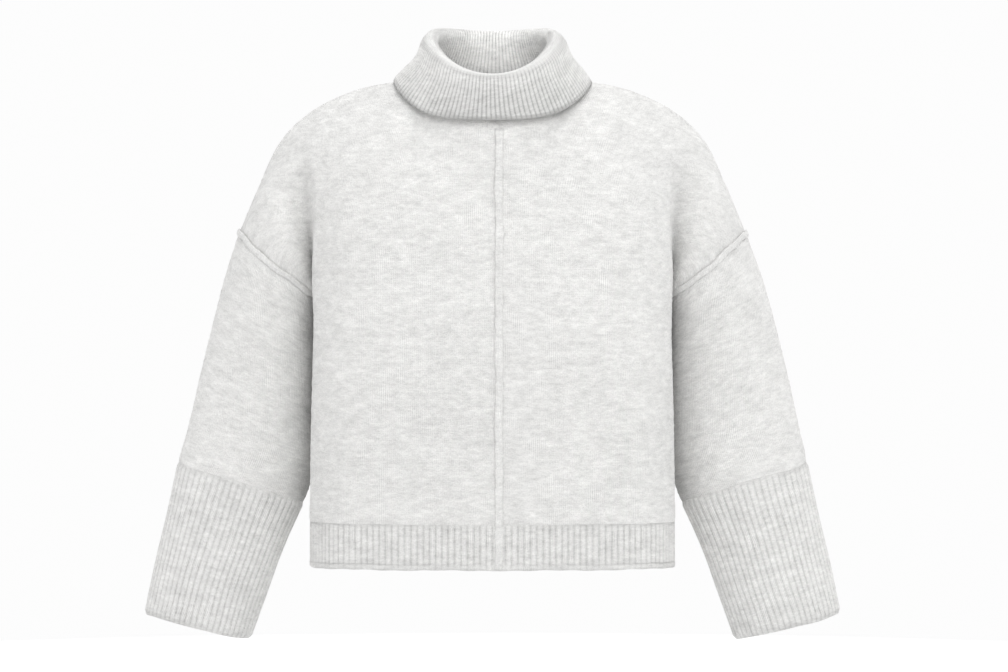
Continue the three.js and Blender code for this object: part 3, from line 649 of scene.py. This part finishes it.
# Sleeves: wide tubes of the same knit, seamed along the underarm and set to the dropped
# armhole. They hang a little away from the body and swell softly just above the cuffs.
ARMHOLE_RIDGE = {"reach": 3.5, "rise": 1.9}
SLEEVE_STEPS = (14, 24, 24, 24, 24)
SLEEVE_FOLDS = [
    {"from": (226, -262), "to": (284, -238), "height": -1.8, "width": 13, "bow": 0.08},
    {"from": (205, -300), "to": (262, -300), "height": -1.6, "width": 14, "bow": -0.08},
    {"from": (262, -330), "to": (306, -380), "height": -1.2, "width": 17},
    {"from": (225, -350), "to": (250, -432), "height": 1.5, "width": 15},
    {"from": (-222, -266), "to": (-280, -236), "height": -1.6, "width": 14, "bow": -0.1},
    {"from": (-204, -310), "to": (-256, -322), "height": -1.9, "width": 13, "bow": 0.07},
    {"from": (-270, -320), "to": (-300, -396), "height": -1.1, "width": 18},
    {"from": (-232, -346), "to": (-262, -430), "height": 1.3, "width": 16},
    {"from": (280, -176), "to": (340, -416), "height": 3.2, "width": 18},
]


def ring_axis(ring, side):
    """Direction along the arm towards the hand, square to a ring."""
    way = np.array((side * (ring["out"][1] - ring["in"][1]), 0, -(ring["out"][0] - ring["in"][0])), float)
    return way / np.linalg.norm(way)


def tube_normals(grid):
    """Unit normals of a tube, turned away from its middle."""
    normals = grid_normals(grid, True)
    away = grid[10] - grid[10].mean(axis=0)
    return normals if (normals[10] * away).sum() > 0 else -normals


def cuff_line(turn):
    """The uneven line where a cuff is sewn on, in millimetres along the arm."""
    return 0.9 * np.sin(3 * turn + 0.6) + 0.6 * np.sin(5 * turn + 2) + 0.3 * np.sin(11 * turn)


for side, name, seed in ((1, "left", 11), (-1, "right", 12)):
    up = PANELS[-1, side][underarm_row:, -1]
    down = PANELS[1, side][underarm_row + 1:-1, -1][::-1]
    loop = np.concatenate((up, down))
    turns = 180 * np.arange(len(loop)) / arm_rows
    rings = [loop]
    for ring in SLEEVE_RINGS:
        points = [arm_point(ring, min(turn, 360 - turn), -1 if turn <= 180 else 1) for turn in turns]
        rings.append(mirrored(points, side))
    grid = smooth_line(rings, SLEEVE_STEPS)
    normals = tube_normals(grid)
    across, along = np.moveaxis(knit_map(grid, True)[:, :-1] / MM, -1, 0)
    to_end = along[-1:] - along
    calm = (1 - near(along, 14)) * (1 - near(to_end, 12))
    moved = soft_folds(grid, SLEEVE_FOLDS) * calm - 0.7 * near(along, 4.0)
    moved = moved + 0.7 * near(to_end - 9, 9) - 0.4 * near(to_end, 2.5)
    outer = grid + normals * moved[..., None]
    turn = np.radians(turns)
    outer += (ring_axis(SLEEVE_RINGS[-1], side) * cuff_line(turn)[:, None]) * near(to_end, 20)[..., None]
    drawn_in(outer, 0, 1)
    turned = np.minimum(turn, 2 * math.pi - turn)
    # Painted shade down the inner side of the sleeve, where it lies beside the body.
    shade = 2.9 * near(turned, 0.58) * near(along - 110, 140)
    uv = knit_map(outer, True) + (seed, 0)
    outside, inside = napped(outer, normals, seed), outer - normals * CLOTH
    piece = wall_piece(f"knit_sleeve_{name}", outside, inside, uv, True, shade)
    finish_cloth(piece, f"sleeve_{name}", brushed_wool)

    # The drop-shoulder seam is turned outwards too, into a narrower ridge round the arm.
    stations = np.arange(9, len(loop) - 8)
    inward = grid[1, stations] - grid[0, stations]
    seam_normals = normals[0, stations]
    across = border_frame(loop[stations], seam_normals, inward)
    scale = np.minimum(1, np.minimum(stations, len(loop) - stations) / 16)
    line = loop[stations]
    piece = seam_ridge(
        f"ridge_armhole_{name}", line, seam_normals, across, ARMHOLE_RIDGE, seed * 3, scale, 2.4)
    finish_cloth(piece, f"seam_ridge_armhole_{name}", brushed_wool)

# Hem band: a band of rib, sewn under the body in three lengths that meet at the centre and side
# seams. Its ribs are wide and round with narrow grooves, and they fade out round the sides.
RIB_RISE = 1.35
HEM_PITCH = 6.8
HEM_EDGE = 6.0
HEM_SIDE = 62
RIB_COLUMNS = 10
# Rows of the band from its top to its edge: height, how far out, and how strong its ribs are.
HEM_ROWS = [
    (HEM_TOP + 0.7, -0.7, 0), (-471.4, -0.3, 0.3), (-473, 0, 0.8), (-475.5, 0.1, 1), (-480, 0.1, 1),
    (-486, 0.1, 1), (-492, 0.1, 1), (-498, 0.1, 1), (-504, 0.1, 1), (-509, 0.1, 1),
    (-512.5, 0.15, 0.9), (-514.5, 0.4, 0.5), (-516.5, 0.5, 0.4), (-518.5, 0.1, 0.3),
    (HEM_BOTTOM, -1.2, 0.2),
]
rib_wool = wool_material("rib_wool", (0.77, 0.767, 0.755), 0.0021, 0.0019, 0.0004)


def rib_shape(phase):
    """Height of a rib, 0 in its groove and 1 on top, and the painted shade in the groove."""
    from_groove = np.minimum(phase % 1, 1 - phase % 1)
    groove_and_painted_shade = np.exp(-(from_groove / 0.15) ** 2)
    return (0.78 + 0.22 * np.sin(math.pi * (phase % 1))) * (1 - groove_and_painted_shade), groove_and_painted_shade


for name, node in (("front_left", (-1, 1)), ("front_right", (-1, -1)), ("back", None)):
    if node:
        border = PANELS[node][0]
    else:
        border = np.concatenate((PANELS[1, -1][0, :0:-1], PANELS[1, 1][0]))
    dense = smooth_line(border, (4,) * (len(border) - 1))
    length = np.linalg.norm(np.diff(dense, axis=0), axis=1).sum()
    plain = HEM_EDGE if node else 0.0
    ribs = round((length - plain) / HEM_PITCH)
    count = ribs * RIB_COLUMNS + 1
    line = even_line(dense, count)
    outward_way = np.gradient(line, axis=0)[:, (1, 0, 2)] * (1, -1, 0)
    outward_way /= np.linalg.norm(outward_way, axis=1, keepdims=True)
    if (outward_way * (line - (0, WIDEST_Y, HEM_TOP))).sum() < 0:
        outward_way = -outward_way
    place = np.linspace(0, length, count)
    line[0] += (line[1] - line[0]) * 0.2
    line[-1] += (line[-2] - line[-1]) * 0.2
    phase = (place - plain) / (length - plain) * ribs + waver(place, 21, ((61, 0.05), (143, 0.08)))
    height, groove_and_painted_shade = rib_shape(phase)
    smooth_edge = (place < plain) | (place > length - 0.3 * HEM_PITCH) if node else place < 0
    height, groove_and_painted_shade = np.where(smooth_edge, 0.6, height), np.where(smooth_edge, 0, groove_and_painted_shade)
    from_side = length - place if node else np.minimum(place, length - place)
    side_fade = np.clip((from_side - (HEM_SIDE if node else 0)) / 38, 0.12, 1)
    height = height * (1 + waver(place, 22, ((19, 0.06), (47, 0.08)))) * side_fade
    groove_and_painted_shade = groove_and_painted_shade * side_fade * 0.5
    rows, painted_shade_rows = [], []
    for z, out, strength in HEM_ROWS:
        row = line + outward_way * (out + RIB_RISE * height * strength)[:, None]
        drop = waver(place, 23, ((31, 0.25), (97, 0.35))) * np.clip((HEM_TOP - z - 20) / 28, 0, 1)
        row[:, 2] = z + drop
        rows.append(row)
        # Painted shade in the rib grooves, and an even 0.12 that darkens the whole band a little.
        painted_shade_rows.append(groove_and_painted_shade * strength + 0.12)
    outer = np.stack(rows)
    inner = line + outward_way * -CLOTH + np.zeros_like(outer)
    inner[..., 2] = outer[..., 2]
    uv = knit_map(outer, False) + (5, 0)
    piece = wall_piece(f"rib_hem_{name}", outer, inner, uv, False, np.stack(painted_shade_rows))
    finish_cloth(piece, f"hem_{name}", rib_wool)

# Cuffs: deep tubes of the same rib, narrower towards the hand, sewn to the sleeve's end. Each
# hangs open, with its edge turned in a little.
CUFF_RINGS = [
    {"out": (341, -409), "in": (205.5, -451), "y": 33, "deep": 48},
    {"out": (352.6, -466), "in": (230, -506), "y": 27, "deep": 45.5},
    {"out": (364.5, -518), "in": (246, -551), "y": 19, "deep": 43.5},
    {"out": (375.5, -572), "in": (263, -600), "y": 11, "deep": 42},
]
CUFF_RIBS = 52

for side, name, seed in ((1, "left", 31), (-1, "right", 32)):
    rings = []
    for ring in CUFF_RINGS:
        turns = np.linspace(0, 360, 721)
        oval = [arm_point(ring, min(turn, 360 - turn), -1 if turn <= 180 else 1) for turn in turns]
        rings.append(mirrored(even_line(np.stack(oval), CUFF_RIBS * RIB_COLUMNS + 1)[:-1], side))
    axis = ring_axis(CUFF_RINGS[0], side)
    grid = smooth_line(rings, (13, 10, 12))
    normals = tube_normals(grid)
    turn = 2 * math.pi * np.arange(grid.shape[1]) / grid.shape[1]
    along = knit_map(grid, True)[:, :-1, 1] / MM
    to_end = along[-1:] - along
    bend = waver(along, seed, ((210, 0.16), (95, 0.07)))
    phase = turn / (2 * math.pi) * CUFF_RIBS
    phase = phase + bend * np.sin(turn + seed) + 0.08 * np.sin(4 * turn + along / 40)
    height, groove_and_painted_shade = rib_shape(phase)
    strength = (1 - near(along, 3)) * (1 - 0.5 * near(to_end, 2))
    height = height * strength * (1 + 0.1 * np.sin(7 * turn + seed))
    swell = -0.6 * near(along, 1.4) - 1.8 * near(to_end, 2.2)
    swell = swell + 0.9 * np.sin(2 * turn + 0.5) * near(along - 90, 45)
    outer = napped(grid + normals * (RIB_RISE * height + swell)[..., None], normals, seed, 0.08)
    outer += axis * (cuff_line(turn) * near(along, 20) - 0.7 * near(along, 2))[..., None]
    outer += axis * (waver(turn * 60, seed + 5, ((120, 0.5), (71, 0.35))) * near(to_end, 25))[..., None]
    inner = grid - normals * (CLOTH - 0.4 * np.minimum(swell, 0))[..., None]
    inner += axis * (cuff_line(turn) * near(along, 20) - 0.7 * near(along, 2))[..., None]
    uv = knit_map(outer, True) + (seed, 0)
    # Painted shade in the rib grooves.
    piece = wall_piece(f"rib_cuff_{name}", outer, inner, uv, True, groove_and_painted_shade * strength * 0.52)
    finish_cloth(piece, f"cuff_{name}", rib_wool)

# Collar: a long tube of finer rib, sewn to the neckline and folded over outside itself. The
# ribs fade out over the full, smooth crest and come back inside the neck.
COLLAR_RINGS = [
    {"half": 107, "front": -85.5, "back": 87, "z_front": -43, "z_side": 2.6, "z_back": 0, "dip": 6.5},
    {"half": 99, "front": -87.5, "back": 85.5, "z_front": -33, "z_side": 13, "z_back": 14, "dip": 4},
    {"half": 86, "front": -86, "back": 79, "z_front": -12, "z_side": 28, "z_back": 36, "dip": 1},
    {"half": 77.5, "front": -79, "back": 70, "z_front": 2, "z_side": 46, "z_back": 56},
    {"half": 69, "front": -71, "back": 61, "z_front": 7, "z_side": 53, "z_back": 61},
    {"half": 60, "front": -63, "back": 52, "z_front": 1, "z_side": 47, "z_back": 56},
    {"half": 67, "front": -64, "back": 56, "z_front": -24, "z_side": 25, "z_back": 34},
    {"half": 83, "front": -71, "back": 66, "z_front": -42.5, "z_side": 4.5, "z_back": 13.5},
    {"half": 86.3, "front": -75.3, "back": 69.3, "z_front": -42.5, "z_side": 4.5, "z_back": 13.5},
    {"half": 72, "front": -69.5, "back": 61.5, "z_front": -23, "z_side": 27, "z_back": 36},
    {"half": 71, "front": -71.5, "back": 62, "z_front": -2, "z_side": 44, "z_back": 53},
    {"half": 94, "front": -83.5, "back": 80, "z_front": -32, "z_side": 14, "z_back": 15, "dip": 4},
    {"half": 103, "front": -81.5, "back": 82.5, "z_front": -42.5, "z_side": 3.1, "z_back": 0.5, "dip": 6.5},
    {"half": 107, "front": -85.5, "back": 87, "z_front": -43, "z_side": 2.6, "z_back": 0, "dip": 6.5},
]
COLLAR_STEPS = (6, 6, 6, 6, 6, 8, 8, 1, 4, 3, 3, 3, 2)
COLLAR_RIBS = 120
COLLAR_COLUMNS = 8
COLLAR_SEAM_TURN = 0.58 * math.pi
NECK_GAP = 0.3
COLLAR_RISE = 1.1

columns = COLLAR_RIBS * COLLAR_COLUMNS
turn = COLLAR_SEAM_TURN + 2 * math.pi * np.arange(columns) / columns
grid = smooth_line([neck_point(ring, turn) for ring in COLLAR_RINGS], COLLAR_STEPS)[:-1]
grid[..., 2] += NECK_GAP
round_neck, round_cloth = (np.roll(grid, -1, axis=k) - np.roll(grid, 1, axis=k) for k in (1, 0))
normals = np.cross(round_neck, round_cloth)
normals /= np.maximum(np.linalg.norm(normals, axis=-1, keepdims=True), 1e-9)
if normals[24, 0, 2] < 0:
    normals = -normals
between = np.concatenate([np.arange(n) / n for n in COLLAR_STEPS])
ring_place = (np.repeat(np.arange(len(COLLAR_STEPS)), COLLAR_STEPS) + between)[:, None]
shown = np.interp(ring_place, (0, 0.3, 2.8, 3.5, 4.1, 4.8, 6.9, 7, 13), (0.5, 1, 1, 0.1, 0.1, 1, 1, 0, 0))
phase = turn / (2 * math.pi) * COLLAR_RIBS
phase = phase + 0.35 * np.sin(2 * turn + ring_place / 2) + 0.22 * np.sin(5 * turn + 1)
height, groove_and_painted_shade = rib_shape(phase)
height = height * shown * (1 + 0.12 * np.sin(9 * turn + ring_place))
fall = np.interp(ring_place, (0, 0.5, 1.5, 3, 12.5, 13), (1, 1, 0.4, 0, 0, 1))
sway = 0.8 * np.sin(3 * turn + 0.4) + 0.6 * np.sin(5 * turn + 2.2)
grid = grid + normals * (COLLAR_RISE * height)[..., None]
grid[..., 2] += fall * sway
grid[..., 0] *= np.where(grid[..., 0] < 0, 1 - 0.04 * near(ring_place - 2.2, 1.4), 1)
uv = knit_map(grid, True) + (40, 0)
# Painted light and shade on the collar: darker on the fall, lighter on the fall's sides, lighter along the
# front of the crest and darker along its back, added to painted shade in the rib grooves.
painted_light_and_shade = np.interp(ring_place, (0, 2, 3), (0.26, 0.2, 0))
painted_light_and_shade = painted_light_and_shade - 0.4 * np.sin(turn) ** 4 * near(ring_place - 1.6, 1.6)
painted_light_and_shade = painted_light_and_shade - (0.1 + 0.5 * np.cos(turn)) * near(ring_place - 3.6, 1)
piece = cloth_mesh("rib_collar", grid, uv, True, groove_and_painted_shade * shown + painted_light_and_shade)
finish_cloth(piece, "collar", rib_wool)
